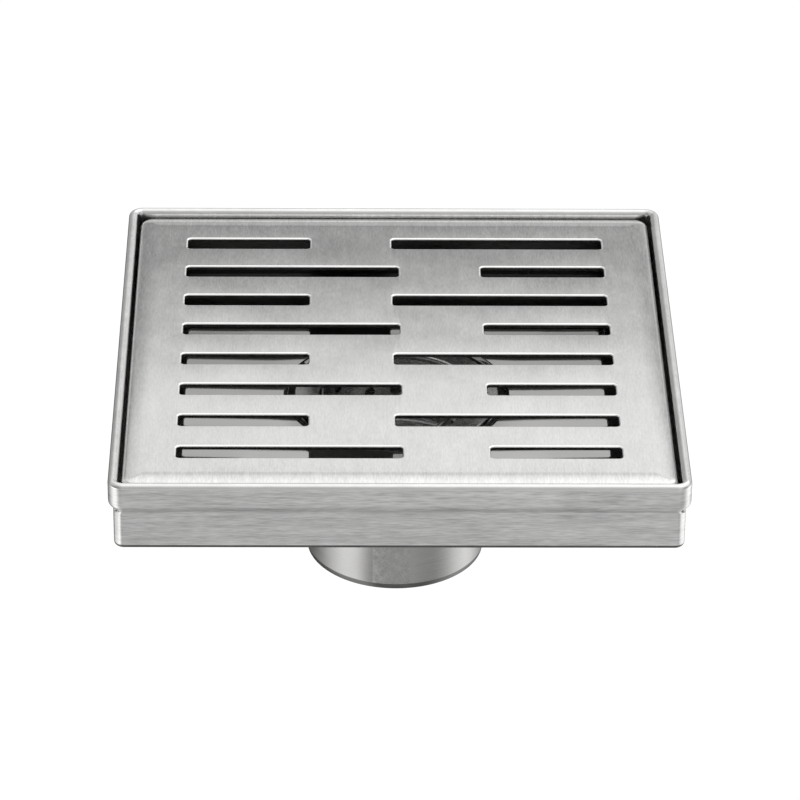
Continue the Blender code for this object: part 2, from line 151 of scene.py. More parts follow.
def steel(name, colour, rough, grain, tangent=None, anisotropy=0.0, tone=0.1, rough_swing=0.3,
          blotch=(30, 0.05), bump=0.0, ripple=None, along=None):
    """Brushed or rolled steel. grain is the streak noise's scale per metre on each axis, tone and
    rough_swing how far the streaks move the colour and the roughness. blotch is (scale, swing) of broad
    patches, bump and ripple the heights of scratches and of slow waves. along is (reach, gain behind,
    gain in front) for painted light: the colour scaled from the back to the front, brighter in front."""
    material = bpy.data.materials.new(name)
    material.use_nodes = True
    tree = material.node_tree
    shader = tree.nodes["Principled BSDF"]
    shader.inputs["Metallic"].default_value = 1.0
    fine = noise(tree, grain, detail=3.0, roughness=0.6)
    broad = noise(tree, [g / BROAD_SCALE for g in grain], detail=2.0)
    patch = noise(tree, (blotch[0],) * 3, detail=2.5, roughness=0.55)
    fine_part = math_node(tree, "MULTIPLY", fine, FINE_SHARE)
    streak = math_node(tree, "ADD", fine_part, math_node(tree, "MULTIPLY", broad, 1 - FINE_SHARE))
    streak_tone = spread(tree, streak, *NOISE_RANGE, 1 - tone, 1 + tone)
    patch_tone = spread(tree, patch, *NOISE_RANGE, 1 - blotch[1], 1 + blotch[1])
    value = math_node(tree, "MULTIPLY", streak_tone, patch_tone)
    # Painted light: the colour is darkened behind and brightened in front along the piece's Y.
    if along:
        reach, behind, front = along
        place = node(tree, "ShaderNodeTexCoord")
        parts = node(tree, "ShaderNodeSeparateXYZ")
        tree.links.new(place.outputs["Object"], parts.inputs[0])
        gain = spread(tree, parts.outputs[1], -reach, reach, front, behind)
        value = math_node(tree, "MULTIPLY", value, gain)
    red = math_node(tree, "MULTIPLY", value, colour[0])
    green = math_node(tree, "MULTIPLY", value, colour[1])
    blue = math_node(tree, "MULTIPLY", value, colour[2])
    mixed = node(tree, "ShaderNodeCombineColor")
    for socket, channel in zip(mixed.inputs, (red, green, blue)):
        tree.links.new(channel, socket)
    tree.links.new(mixed.outputs[0], shader.inputs["Base Color"])
    gloss = spread(tree, streak, *NOISE_RANGE, rough * (1 - rough_swing), rough * (1 + rough_swing))
    tree.links.new(gloss, shader.inputs["Roughness"])
    if tangent:
        shader.inputs["Anisotropic"].default_value = anisotropy
        direction = node(tree, "ShaderNodeCombineXYZ")
        for socket, number in zip(direction.inputs, tangent):
            socket.default_value = number
        tree.links.new(direction.outputs[0], shader.inputs["Tangent"])
    normal = None
    if ripple:
        waves = noise(tree, ripple[0], detail=1.5)
        wavy = node(tree, "ShaderNodeBump")
        wavy.inputs["Strength"].default_value = 1.0
        wavy.inputs["Distance"].default_value = ripple[1]
        tree.links.new(waves, wavy.inputs["Height"])
        normal = wavy.outputs[0]
    if bump:
        scratch = node(tree, "ShaderNodeBump")
        scratch.inputs["Strength"].default_value = 1.0
        scratch.inputs["Distance"].default_value = bump
        tree.links.new(streak, scratch.inputs["Height"])
        if normal:
            tree.links.new(normal, scratch.inputs["Normal"])
        normal = scratch.outputs[0]
    if normal:
        tree.links.new(normal, shader.inputs["Normal"])
    return material


def rubber(name):
    material = bpy.data.materials.new(name)
    material.use_nodes = True
    tree = material.node_tree
    shader = tree.nodes["Principled BSDF"]
    speck = noise(tree, (2500, 2500, 2500), detail=3.0)
    patch = noise(tree, (220, 220, 220), detail=3.0)
    speck_tone = spread(tree, speck, *NOISE_RANGE, 0.8, 1.2)
    tone = math_node(tree, "MULTIPLY", speck_tone, spread(tree, patch, *NOISE_RANGE, 0.022, 0.036))
    mixed = node(tree, "ShaderNodeCombineColor")
    for socket in mixed.inputs:
        tree.links.new(tone, socket)
    tree.links.new(mixed.outputs[0], shader.inputs["Base Color"])
    tree.links.new(spread(tree, patch, *NOISE_RANGE, 0.62, 0.82), shader.inputs["Roughness"])
    grain = node(tree, "ShaderNodeBump")
    grain.inputs["Strength"].default_value = 0.6
    grain.inputs["Distance"].default_value = 0.05 * MM
    tree.links.new(speck, grain.inputs["Height"])
    tree.links.new(grain.outputs[0], shader.inputs["Normal"])
    return material


PLATE_STEEL = steel(
    "plate_steel", (0.72, 0.718, 0.712), 0.16, (2100, 420, 420), tangent=(1, 0, 0), anisotropy=1.0,
    tone=0.13, rough_swing=0.12, blotch=(70, 0.025), bump=0.0015 * MM, ripple=((45, 30, 30), 0.07 * MM),
)
UNDER_PLATE_STEEL = steel(
    "under_plate_steel", (0.75, 0.748, 0.74), 0.75, (60, 900, 60),
    tone=0.08, rough_swing=0.25, blotch=(50, 0.07), bump=0.002 * MM,
)
# Painted highlight: the slot edges' rounding is a brighter copy of the plate's steel, for whiter edge
# highlights.
PAINTED_HIGHLIGHT_SLOT_STEEL = steel(
    "painted_highlight_slot_steel", (0.95, 0.948, 0.94), 0.22, (400, 400, 400),
    tone=0.05, rough_swing=0.2, blotch=(80, 0.03), bump=0.001 * MM,
)
# Painted shade: the slots' cut faces are nearly black, standing in for the shade inside the slots.
PAINTED_SHADE_CUT_STEEL = steel(
    "painted_shade_cut_steel", (0.13, 0.128, 0.124), 0.45, (900, 900, 200),
    tone=0.2, rough_swing=0.25, blotch=(200, 0.15), bump=0.004 * MM,
)
WALL_STEEL = steel(
    "wall_steel", (0.77, 0.768, 0.762), 0.36, (240, 240, 3600), tangent=(0, 0, 1), anisotropy=0.8,
    tone=0.34, rough_swing=0.2, blotch=(60, 0.03), bump=0.006 * MM,
)
HEM_STEEL = steel(
    "hem_steel", (0.80, 0.798, 0.79), 0.22, (300, 300, 2000),
    tone=0.06, rough_swing=0.2, blotch=(80, 0.03), bump=0.002 * MM,
)
# Painted shade: the tray's inner wall below the joggle is dark grey and the floor-to-wall bend nearly
# black, for the shade low in the pan.
PAINTED_SHADE_WALL_STEEL = steel(
    "painted_shade_wall_steel", (0.27, 0.269, 0.266), 0.30, (120, 120, 2200),
    tone=0.08, rough_swing=0.2, blotch=(70, 0.04), bump=0.002 * MM,
)
PAINTED_SHADE_BEND_STEEL = steel(
    "painted_shade_bend_steel", (0.08, 0.0795, 0.0785), 0.25, (90, 90, 2400), tangent=(0, 0, 1), anisotropy=0.6,
    tone=0.08, rough_swing=0.2, blotch=(60, 0.04), bump=0.003 * MM,
)
# The pan floor's colour carries painted light, darker at the back and brighter at the front.
FLOOR_STEEL = steel(
    "floor_steel", (0.27, 0.268, 0.264), 0.045, (40, 900, 40),
    tone=0.05, rough_swing=0.3, blotch=(45, 0.05),
    bump=0.0008 * MM, ripple=((28, 28, 28), 0.05 * MM), along=(35 * MM, 0.92, 1.32),
)
UNDER_STEEL = steel(
    "under_steel", (0.55, 0.548, 0.54), 0.34, (60, 900, 60),
    tone=0.08, rough_swing=0.25, blotch=(50, 0.07), bump=0.002 * MM,
)
# The pipe is darker than the tray: partly its own duller finish, partly painted shade from the tray
# overhanging it.
PIPE_STEEL = steel(
    "pipe_steel", (0.44, 0.437, 0.43), 0.30, (120, 120, 2200), tangent=(0, 0, 1), anisotropy=0.7,
    tone=0.1, rough_swing=0.25, blotch=(70, 0.05), bump=0.004 * MM,
)
GROUND_STEEL = steel(
    "ground_steel", (0.45, 0.447, 0.44), 0.36, (2400, 2400, 2400),
    tone=0.24, rough_swing=0.25, blotch=(500, 0.06), bump=0.006 * MM,
)
# Painted shade: the tray's foot bend and the pipe's base chamfer are painted dark for the dark lines that
# shade and dark reflections make there.
PAINTED_SHADE_EDGE_STEEL = steel(
    "painted_shade_edge_steel", (0.17, 0.169, 0.166), 0.30, (400, 400, 1500),
    tone=0.12, rough_swing=0.25, blotch=(150, 0.1), bump=0.002 * MM,
)
WELD_STEEL = steel(
    "weld_steel", (0.50, 0.485, 0.46), 0.36, (900, 900, 900),
    tone=0.16, rough_swing=0.3, blotch=(160, 0.18), bump=0.03 * MM,
)
LEG_STEEL = steel(
    "leg_steel", (0.58, 0.577, 0.57), 0.3, (60, 1400, 1400),
    tone=0.08, rough_swing=0.25, blotch=(90, 0.06), bump=0.003 * MM,
)
CUP_STEEL = steel(
    "cup_steel", (0.60, 0.597, 0.59), 0.26, (500, 500, 2600),
    tone=0.08, rough_swing=0.25, blotch=(110, 0.06), bump=0.003 * MM,
)
WIRE_STEEL = steel(
    "wire_steel", (0.62, 0.617, 0.61), 0.2, (900, 2600, 900),
    tone=0.1, rough_swing=0.3, blotch=(140, 0.06), bump=0.004 * MM,
)
FOOT_RUBBER = rubber("foot_rubber")


# ---------------------------------------------------------------- mesh helpers

def weigh_normals(obj):
    weigh = obj.modifiers.new("normals", "WEIGHTED_NORMAL")
    weigh.mode = "FACE_AREA"
    weigh.keep_sharp = True


def piece(name, bm, materials, body, nodes, sharp=35):
    """Makes the mesh an object that rides on its CAD body and stands in for its nodes."""
    bmesh.ops.recalc_face_normals(bm, faces=bm.faces)
    mesh = bpy.data.meshes.new(name)
    bm.to_mesh(mesh)
    bm.free()
    mesh.shade_smooth()
    mesh.set_sharp_from_angle(angle=radians(sharp))
    obj = bpy.data.objects.new(name, mesh)
    bpy.context.scene.collection.objects.link(obj)
    for material in materials:
        mesh.materials.append(material)
    weigh_normals(obj)
    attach(obj, body)
    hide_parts(*nodes)
    return obj


def arc(centre_x, centre_z, radius, start, end, steps):
    angles = [start + (end - start) * k / steps for k in range(steps + 1)]
    return [(centre_x + radius * cos(a), centre_z + radius * sin(a)) for a in angles]


def square_ring(half, radius, z, corner_steps, side_steps):
    """Points round a square with rounded corners, from the corner at +X+Y."""
    points = []
    centre = half - radius
    for quarter in range(4):
        turn = Matrix.Rotation(quarter * pi / 2, 3, "Z")
        for step in range(corner_steps + 1):
            angle = step / corner_steps * pi / 2
            points.append(turn @ Vector((centre + radius * cos(angle), centre + radius * sin(angle), z)))
        for step in range(1, side_steps):
            along = centre * (1 - 2 * step / side_steps)
            points.append(turn @ Vector((along, half, z)))
    return points


def round_ring(radius, z, corner_steps, side_steps):
    count = 4 * (corner_steps + side_steps)
    start = pi / 4 - corner_steps / 2 * 2 * pi / count
    angles = [start + 2 * pi * k / count for k in range(count)]
    return [Vector((radius * cos(a), radius * sin(a), z)) for a in angles]


def inset_ring(outer_half, outer_corner, half, z, corner_steps, side_steps):
    radius = max(outer_corner - (outer_half - half), SHARPEST_CORNER)
    return square_ring(half, radius, z, corner_steps, side_steps)


def add_ring(bm, points):
    return [bm.verts.new(p) for p in points]


def bridge(bm, upper, lower, material=0):
    count = len(upper)
    for j in range(count):
        k = (j + 1) % count
        face = bm.faces.new((upper[j], lower[j], lower[k], upper[k]))
        face.material_index = material


def loop_edges(bm, ring):
    edges = []
    for a, b in zip(ring, ring[1:] + ring[:1]):
        edges.append(bm.edges.get((a, b)) or bm.edges.new((a, b)))
    return edges


def turned(bm, profile, steps, closed):
    """Turns (radius, z) points about Z. A radius of zero makes a single point."""
    rings = []
    for r, z in profile:
        if r < 1e-7:
            rings.append([bm.verts.new((0, 0, z))])
        else:
            angles = [2 * pi * k / steps for k in range(steps)]
            rings.append(add_ring(bm, [(r * cos(a), r * sin(a), z) for a in angles]))
    pairs = list(zip(rings, rings[1:]))
    if closed:
        pairs.append((rings[-1], rings[0]))
    for upper, lower in pairs:
        if len(upper) == 1 or len(lower) == 1:
            tip, ring = (upper[0], lower) if len(upper) == 1 else (lower[0], upper)
            for j in range(steps):
                bm.faces.new((tip, ring[j], ring[(j + 1) % steps]))
        else:
            bridge(bm, upper, lower)


# ---------------------------------------------------------------- tray

CORNER_STEPS = 10
SIDE_STEPS = 18
HEM_STEPS = 14
JOGGLE_STEPS = 9
BEND_STEPS = 6
FLOOR_STEPS = 8
BAND_STRAIGHT = 6.0 * MM
JOGGLE_END = 8.9 * MM
JOGGLE_EASE = 0.6 * MM
FOOT_EASE = 0.5 * MM
UNDER_BEND = 1.0 * MM
RECESS_EASE = 0.25 * MM
# Points that round off an end of the recess's slope: outwards and up from its foot, or the reverse
# from its head
RECESS_ROUND = ((-RECESS_EASE, 0.0), (0.05 * MM, 0.08 * MM), (RECESS_EASE, 0.28 * MM))
UNDER_ROUND = ((-RECESS_EASE, 0.0), (0.1 * MM, 0.15 * MM))
NOTCH_DEPTH = 0.75 * MM
NOTCH_Z = RIM_Z - JOGGLE_END
NOTCH_TALL = 0.6 * MM
NOTCH_WIDE = 0.8 * MM
# The tray's material slots, in order
TRAY_STEELS = (WALL_STEEL, HEM_STEEL, FLOOR_STEEL, PAINTED_SHADE_BEND_STEEL, UNDER_STEEL, PAINTED_SHADE_EDGE_STEEL, PAINTED_SHADE_WALL_STEEL)
WALL, HEM, FLOOR, INNER, UNDER, CHAMFER, INSIDE = range(len(TRAY_STEELS))


def joggle():
    """The band curls in under itself to the lower wall."""
    points = []
    for k in range(JOGGLE_STEPS + 1):
        t = k / JOGGLE_STEPS
        inward = (1 - cos(pi * t ** 1.5)) / 2
        x = TRAY_HALF + (WALL_HALF - TRAY_HALF) * inward
        points.append((x, RIM_Z - BAND_STRAIGHT - (JOGGLE_END - BAND_STRAIGHT) * t))
    return points


def notch(points):
    """Pulls the tray's corners in where the band's folded ends meet."""
    moved = []
    for p in points:
        diagonal = abs(abs(p.x) - abs(p.y)) / sqrt(2)
        near = exp(-((diagonal / NOTCH_WIDE) ** 2)) * exp(-(((p.z - NOTCH_Z) / NOTCH_TALL) ** 2))
        corner = min(abs(p.x), abs(p.y)) > WALL_HALF - TRAY_CORNER
        if corner and near > 1e-4:
            inward = Vector((-p.x, -p.y, 0)).normalized()
            p = p + inward * NOTCH_DEPTH * near
        moved.append(p)
    return moved


def make_tray():
    hem_radius = HEM_THICKNESS / 2
    base_z = RIM_Z - TRAY_DEPTH
    foot_inner = WALL_HALF - 2 * SHEET
    hem = arc(TRAY_HALF - hem_radius, RIM_Z - hem_radius, hem_radius, pi, 0, HEM_STEPS)
    wall = joggle()
    wall += [(WALL_HALF, RIM_Z - JOGGLE_END - JOGGLE_EASE), (WALL_HALF, base_z + FOOT_BEND + FOOT_EASE)]
    foot_bend = arc(WALL_HALF - FOOT_BEND, base_z + FOOT_BEND, FOOT_BEND, 0, -pi / 2, BEND_STEPS)
    under = [
        (foot_inner + FOOT_EDGE, base_z),
        (foot_inner, base_z + FOOT_EDGE),
        (foot_inner, FLOOR_Z - SHEET - UNDER_BEND),
        (foot_inner - UNDER_BEND, FLOOR_Z - SHEET),
    ]
    inside = arc(TRAY_INNER - FLOOR_BEND, FLOOR_Z + FLOOR_BEND, FLOOR_BEND, -pi / 2, 0, BEND_STEPS)
    # The recess's slope is at about 45 degrees, so its underside is moved out by this much
    cone_shift = SHEET * tan(pi / 8)
    under_outer = RECESS_OUTER + cone_shift
    under_inner = RECESS_INNER + cone_shift
    pipe_bore = PIPE_HIGH.x - PIPE_WALL
    bm = bmesh.new()
    rings = []
    marks = []

    def square(points, material, change=None):
        for x, z in points:
            ring = square_outline(x, z)
            rings.append(add_ring(bm, change(ring) if change else ring))
            marks.append(material)

    def round_(points, material):
        for r, z in points:
            rings.append(add_ring(bm, round_ring(r, z, CORNER_STEPS, SIDE_STEPS)))
            marks.append(material)

    def blend(start, end, steps, material):
        for k in range(1, steps):
            rings.append(add_ring(bm, [a.lerp(b, k / steps) for a, b in zip(start, end)]))
            marks.append(material)

    def square_outline(half, z):
        return inset_ring(TRAY_HALF, TRAY_CORNER, half, z, CORNER_STEPS, SIDE_STEPS)

    square(hem, HEM)
    square(wall, WALL, notch)
    square(foot_bend[:1], WALL)
    # The foot bend carries painted shade.
    square(foot_bend[1:], CHAMFER)
    square(under, UNDER)
    start = square_outline(foot_inner - UNDER_BEND, FLOOR_Z - SHEET)
    end = round_ring(under_outer, RECESS_TOP_Z - SHEET, CORNER_STEPS, SIDE_STEPS)
    blend(start, end, BEND_STEPS, UNDER)
    round_([(under_outer - x, RECESS_TOP_Z - SHEET - z) for x, z in UNDER_ROUND], UNDER)
    round_([(under_inner + x, LEDGE_Z - SHEET + z) for x, z in UNDER_ROUND[::-1]], UNDER)
    round_([(pipe_bore, LEDGE_Z - SHEET), (pipe_bore, LEDGE_Z)], UNDER)
    round_([(RECESS_INNER + x, LEDGE_Z + z) for x, z in RECESS_ROUND], FLOOR)
    round_([(RECESS_OUTER - x, RECESS_TOP_Z - z) for x, z in RECESS_ROUND[::-1]], FLOOR)
    start = round_ring(RECESS_OUTER + RECESS_EASE, RECESS_TOP_Z, CORNER_STEPS, SIDE_STEPS)
    blend(start, square_outline(TRAY_INNER - FLOOR_BEND, FLOOR_Z), FLOOR_STEPS, FLOOR)
    # Painted shade: the floor-to-wall bend (INNER) and the inner wall up to the joggle's height (INSIDE)
    # are darkened.
    square(inside, INNER)
    square([(TRAY_INNER, RIM_Z - JOGGLE_END)], INSIDE)
    for i, upper in enumerate(rings):
        bridge(bm, upper, rings[(i + 1) % len(rings)], marks[(i + 1) % len(rings)])
    piece("tray", bm, TRAY_STEELS, "tray", ["tray_pan"], sharp=50)


# The corner beads are a little smaller than the CAD's, because they aren't even
BEAD_FIT = 0.97


def bead(name, centre, size, node_name):
    """A small weld bead, pressed flat and a little uneven."""
    bm = bmesh.new()
    bmesh.ops.create_icosphere(bm, subdivisions=4, radius=1.0)
    for v in bm.verts:
        p = v.co.copy()
        wobble = 1 + 0.07 * sin(5 * p.x + 3 * p.z) + 0.05 * sin(7 * p.y - 4 * p.z)
        v.co = Vector((p.x * size.x, p.y * size.y, p.z * size.z)) * wobble + centre
    piece(name, bm, [WELD_STEEL], "tray", [node_name], sharp=180)


def make_corner_welds():
    for name, _ in CORNERS:
        low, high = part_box("corner_weld_" + name)
        centre = (low + high) / 2
        size = (high - low) / 2 * BEAD_FIT
        bead("corner_bead_" + name, centre, size, "corner_weld_" + name)


make_tray()
make_corner_welds()


# ---------------------------------------------------------------- outlet pipe

PIPE_STEPS = 240
SEAM_ANGLE = radians(-80.7)
SEAM_WIDTH = 0.45 * MM
SEAM_DEPTH = 0.08 * MM
GROUND_START = radians(-105)
PIPE_LEVELS = 10
PIPE_EASE = 0.15 * MM
# Smooth turns of the chamfer's two ends
CHAMFER_EASE = 0.3 * MM
CHAMFER_BEND = 0.06 * MM
CHAMFER_START = 0.02 * MM


def make_pipe():
    radius = PIPE_HIGH.x
    bore = radius - PIPE_WALL
    base = PIPE_LOW.z
    top = PIPE_HIGH.z
    straight = base + PIPE_CHAMFER_HEIGHT + CHAMFER_EASE - top
    profile = [(radius, top)]
    profile += [(radius, top + straight * k / PIPE_LEVELS) for k in range(1, PIPE_LEVELS + 1)]
    profile += [
        (radius - CHAMFER_START, base + PIPE_CHAMFER_HEIGHT),
        (radius - PIPE_CHAMFER + CHAMFER_BEND, base + 2 * CHAMFER_BEND),
        (radius - PIPE_CHAMFER - CHAMFER_BEND, base),
        (bore + PIPE_EASE, base),
        (bore, base + PIPE_EASE),
        (bore, top),
    ]
    outer_face = radius - PIPE_CHAMFER - CHAMFER_BEND
    bm = bmesh.new()
    turned(bm, profile, PIPE_STEPS, closed=True)
    for v in bm.verts:
        reach = hypot(v.co.x, v.co.y)
        if reach > radius - PIPE_CHAMFER - CHAMFER_BEND / 2:
            turn = atan2(v.co.y, v.co.x) - SEAM_ANGLE
            off = abs(turn) * radius / SEAM_WIDTH
            scale = (reach - SEAM_DEPTH * exp(-off ** 2)) / reach
            v.co.x *= scale
            v.co.y *= scale
    for face in bm.faces:
        middle = face.calc_center_median()
        turn = atan2(middle.y, middle.x)
        outside = hypot(middle.x, middle.y) > outer_face
        # The pipe's base chamfer gets the painted shade steel.
        if outside and middle.z < base + PIPE_CHAMFER_HEIGHT:
            face.material_index = 2
        elif outside and GROUND_START < turn < SEAM_ANGLE:
            face.material_index = 1
    materials = [PIPE_STEEL, GROUND_STEEL, PAINTED_SHADE_EDGE_STEEL]
    piece("outlet_tube", bm, materials, "tray", ["outlet_pipe"], sharp=40)


WELD_GAP = 0.3 * MM
WELD_STEPS = 288
WELD_RIPPLES = 96
WELD_ACROSS = 8
RIPPLE_DEPTH = 0.10 * MM
# The bead's swell outside the straight fillet, as a part of its leg
WELD_SWELL = 0.02


def make_pipe_weld():
    """Fillet bead with the ripples a welder leaves."""
    inner = PIPE_HIGH.x + WELD_GAP
    leg = WELD_HIGH.x - inner
    top = WELD_HIGH.z
    bm = bmesh.new()
    rings = []
    for k in range(WELD_STEPS):
        angle = 2 * pi * k / WELD_STEPS
        points = [(inner, top)]
        for j in range(WELD_ACROSS + 1):
            t = j / WELD_ACROSS
            middle = sin(pi * t)
            ripple = RIPPLE_DEPTH * (0.5 + 0.5 * cos(WELD_RIPPLES * angle + pi * middle)) * middle
            push = (WELD_SWELL * leg * middle - ripple) / sqrt(2)
            points.append((inner + leg * (1 - t) + push, top - leg * t - push))
        rings.append(add_ring(bm, [(r * cos(angle), r * sin(angle), z) for r, z in points]))
    for i, ring in enumerate(rings):
        bridge(bm, ring, rings[(i + 1) % WELD_STEPS])
    piece("pipe_weld_bead", bm, [WELD_STEEL], "tray", ["pipe_weld_ring"], sharp=60)


make_pipe()
make_pipe_weld()


# ---------------------------------------------------------------- grate

PLATE_CORNER_STEPS = 8
PLATE_SIDE_STEPS = 12
CROWN_STEPS = 8
PLATE_BEND_STEPS = 7
SLOT_EDGE_STEPS = 6
SLOT_CORNER_STEPS = 6
FLANGE_EDGE = 0.1 * MM
FLANGE_RISE = 0.15 * MM


def grate_section(offset):
    """(x, z) points of the crowned border and its bend, offset inwards."""
    crown_z = GRATE_TOP_Z - CROWN_RADIUS
    crown = arc(CROWN_START, crown_z, CROWN_RADIUS - offset, pi / 2, pi / 2 - CROWN_ANGLE, CROWN_STEPS)
    bend_x = CROWN_START + (CROWN_RADIUS - BEND_RADIUS) * sin(CROWN_ANGLE)
    bend_z = crown_z + (CROWN_RADIUS - BEND_RADIUS) * cos(CROWN_ANGLE)
    bend = arc(bend_x, bend_z, BEND_RADIUS - offset, pi / 2 - CROWN_ANGLE, 0, PLATE_BEND_STEPS)
    return crown + bend[1:]


def slot_outline(x, y, length, width, radius, z):
    points = []
    for quarter, (sx, sy) in enumerate(((1, 1), (-1, 1), (-1, -1), (1, -1))):
        corner_x = x + sx * (length / 2 - radius)
        corner_y = y + sy * (width / 2 - radius)
        start = quarter * pi / 2
        for px, py in arc(corner_x, corner_y, radius, start, start + pi / 2, SLOT_CORNER_STEPS):
            points.append((px, py, z))
    return points


def slot_places():
    """(x, y, length) of every slot, from the rear row forwards."""
    places = []
    for row in range(SLOT_ROWS):
        y = (SLOT_ROWS - 1 - 2 * row) / 2 * SLOT_PITCH
        left, right = (SHORT_SLOT, LONG_SLOT) if row % 2 == 0 else (LONG_SLOT, SHORT_SLOT)
        places.append((left / 2 - SLOT_REACH, y, left))
        places.append((SLOT_REACH - right / 2, y, right))
    return places


def make_plate():
    edge_z = FLANGE_Z + FLANGE_RISE
    inner_half = GRATE_HALF - SHEET
    outer = grate_section(0.0) + [(GRATE_HALF, edge_z), (GRATE_HALF - FLANGE_EDGE, FLANGE_Z)]
    inner = [(inner_half + FLANGE_EDGE, FLANGE_Z), (inner_half, edge_z)]
    inner += grate_section(SHEET)[::-1]
    bm = bmesh.new()
    rings = []
    for x, z in outer + inner:
        ring = inset_ring(GRATE_HALF, GRATE_CORNER, x, z, PLATE_CORNER_STEPS, PLATE_SIDE_STEPS)
        rings.append(add_ring(bm, ring))
    for i, (upper, lower) in enumerate(zip(rings, rings[1:])):
        bridge(bm, upper, lower, 0 if i < len(outer) else 2)
    top_edges = loop_edges(bm, rings[0])
    base_edges = loop_edges(bm, rings[-1])
    levels = []
    for k in range(SLOT_EDGE_STEPS + 1):
        turn = k / SLOT_EDGE_STEPS * pi / 2
        levels.append((SLOT_EDGE * (1 - sin(turn)), -SLOT_EDGE * (1 - cos(turn))))
    levels.append((0.0, -SHEET))
    for x, y, length in slot_places():
        slot_rings = []
        for grow, z in levels:
            long = length + 2 * grow
            wide = SLOT_WIDTH + 2 * grow
            points = slot_outline(x, y, long, wide, SLOT_CORNER + grow, GRATE_TOP_Z + z)
            slot_rings.append(add_ring(bm, points))
        for i, (upper, lower) in enumerate(zip(slot_rings, slot_rings[1:])):
            # Painted highlight on the rounded slot edges (slot 1), painted shade on the cut faces (slot
            # 3).
            bridge(bm, upper, lower, 1 if i < SLOT_EDGE_STEPS - 1 else 3)
        top_edges += loop_edges(bm, slot_rings[0])
        base_edges += loop_edges(bm, slot_rings[-1])
    up = (0, 0, 1)
    for edges, material in ((top_edges, 0), (base_edges, 2)):
        filled = bmesh.ops.triangle_fill(bm, use_beauty=True, use_dissolve=False, edges=edges, normal=up)
        for face in filled["geom"]:
            if isinstance(face, bmesh.types.BMFace):
                face.material_index = material
    materials = [PLATE_STEEL, PAINTED_HIGHLIGHT_SLOT_STEEL, UNDER_PLATE_STEEL, PAINTED_SHADE_CUT_STEEL]
    piece("grate_top", bm, materials, "grate", ["grate_plate"], sharp=50)


def folded_sheet(centre_line, thickness, y_low, y_high, edge):
    """A strip bent along centre_line in X and Z, as wide as y_low to y_high, with softened edges."""
    count = len(centre_line)
    left = []
    right = []
    for i, p in enumerate(centre_line):
        before = centre_line[max(i - 1, 0)]
        after = centre_line[min(i + 1, count - 1)]
        along = (after - before).normalized()
        across = Vector((-along.y, along.x))
        left.append(p + across * thickness / 2)
        right.append(p - across * thickness / 2)
    bm = bmesh.new()

    def outline(inset, y):
        points = []
        total = left + right[::-1]
        middle = [(a + b) / 2 for a, b in zip(left, right)]
        middle = middle + middle[::-1]
        for i, (p, m) in enumerate(zip(total, middle)):
            pulled = p + (m - p).normalized() * inset
            if i in (0, 2 * count - 1):
                pulled = pulled + (centre_line[1] - centre_line[0]).normalized() * inset
            if i in (count - 1, count):
                pulled = pulled + (centre_line[-2] - centre_line[-1]).normalized() * inset
            points.append((pulled.x, y, pulled.y))
        return points

    rings = [
        add_ring(bm, outline(edge, y_low)),
        add_ring(bm, outline(edge * 0.3, y_low + edge * 0.3)),
        add_ring(bm, outline(0, y_low + edge)),
        add_ring(bm, outline(0, y_high - edge)),
        add_ring(bm, outline(edge * 0.3, y_high - edge * 0.3)),
        add_ring(bm, outline(edge, y_high)),
    ]
    for a, b in zip(rings, rings[1:]):
        bridge(bm, a, b)
    for ring in (rings[0], rings[-1]):
        for i in range(count - 1):
            bm.faces.new((ring[i], ring[i + 1], ring[2 * count - 2 - i], ring[2 * count - 1 - i]))
    return bm


LEG_SHEET = 1.0 * MM
LEG_BEND = 0.9 * MM
LEG_BEND_STEPS = 6
LEG_EDGE = 0.15 * MM
FOOT_ROUND = 0.5 * MM
FOOT_STEPS = 5
SOLE_STEPS = 24
GROOVE_DEPTH = 0.35 * MM
GROOVE_WIDE = 0.5 * MM
GROOVE_PLACE = 1 / 2.6


def make_legs():
    for name, side in CORNERS:
        low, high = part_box("grate_leg_" + name)
        near = min(abs(low.x), abs(high.x)) + LEG_SHEET / 2
        far = max(abs(low.x), abs(high.x))
        top = high.z - LEG_SHEET / 2
        base = low.z + LEG_SHEET / 2
        bend_x = near + LEG_BEND
        points = [(far, top)]
        points += arc(bend_x, top - LEG_BEND, LEG_BEND, pi / 2, pi, LEG_BEND_STEPS)
        points += arc(bend_x, base + LEG_BEND, LEG_BEND, pi, 3 * pi / 2, LEG_BEND_STEPS)
        points.append((far, base))
        line = [Vector((side * x, z)) for x, z in points]
        bm = folded_sheet(line, LEG_SHEET, low.y, high.y, LEG_EDGE)
        piece("leg_" + name, bm, [LEG_STEEL], "grate", ["grate_leg_" + name], sharp=50)
        make_foot(name)


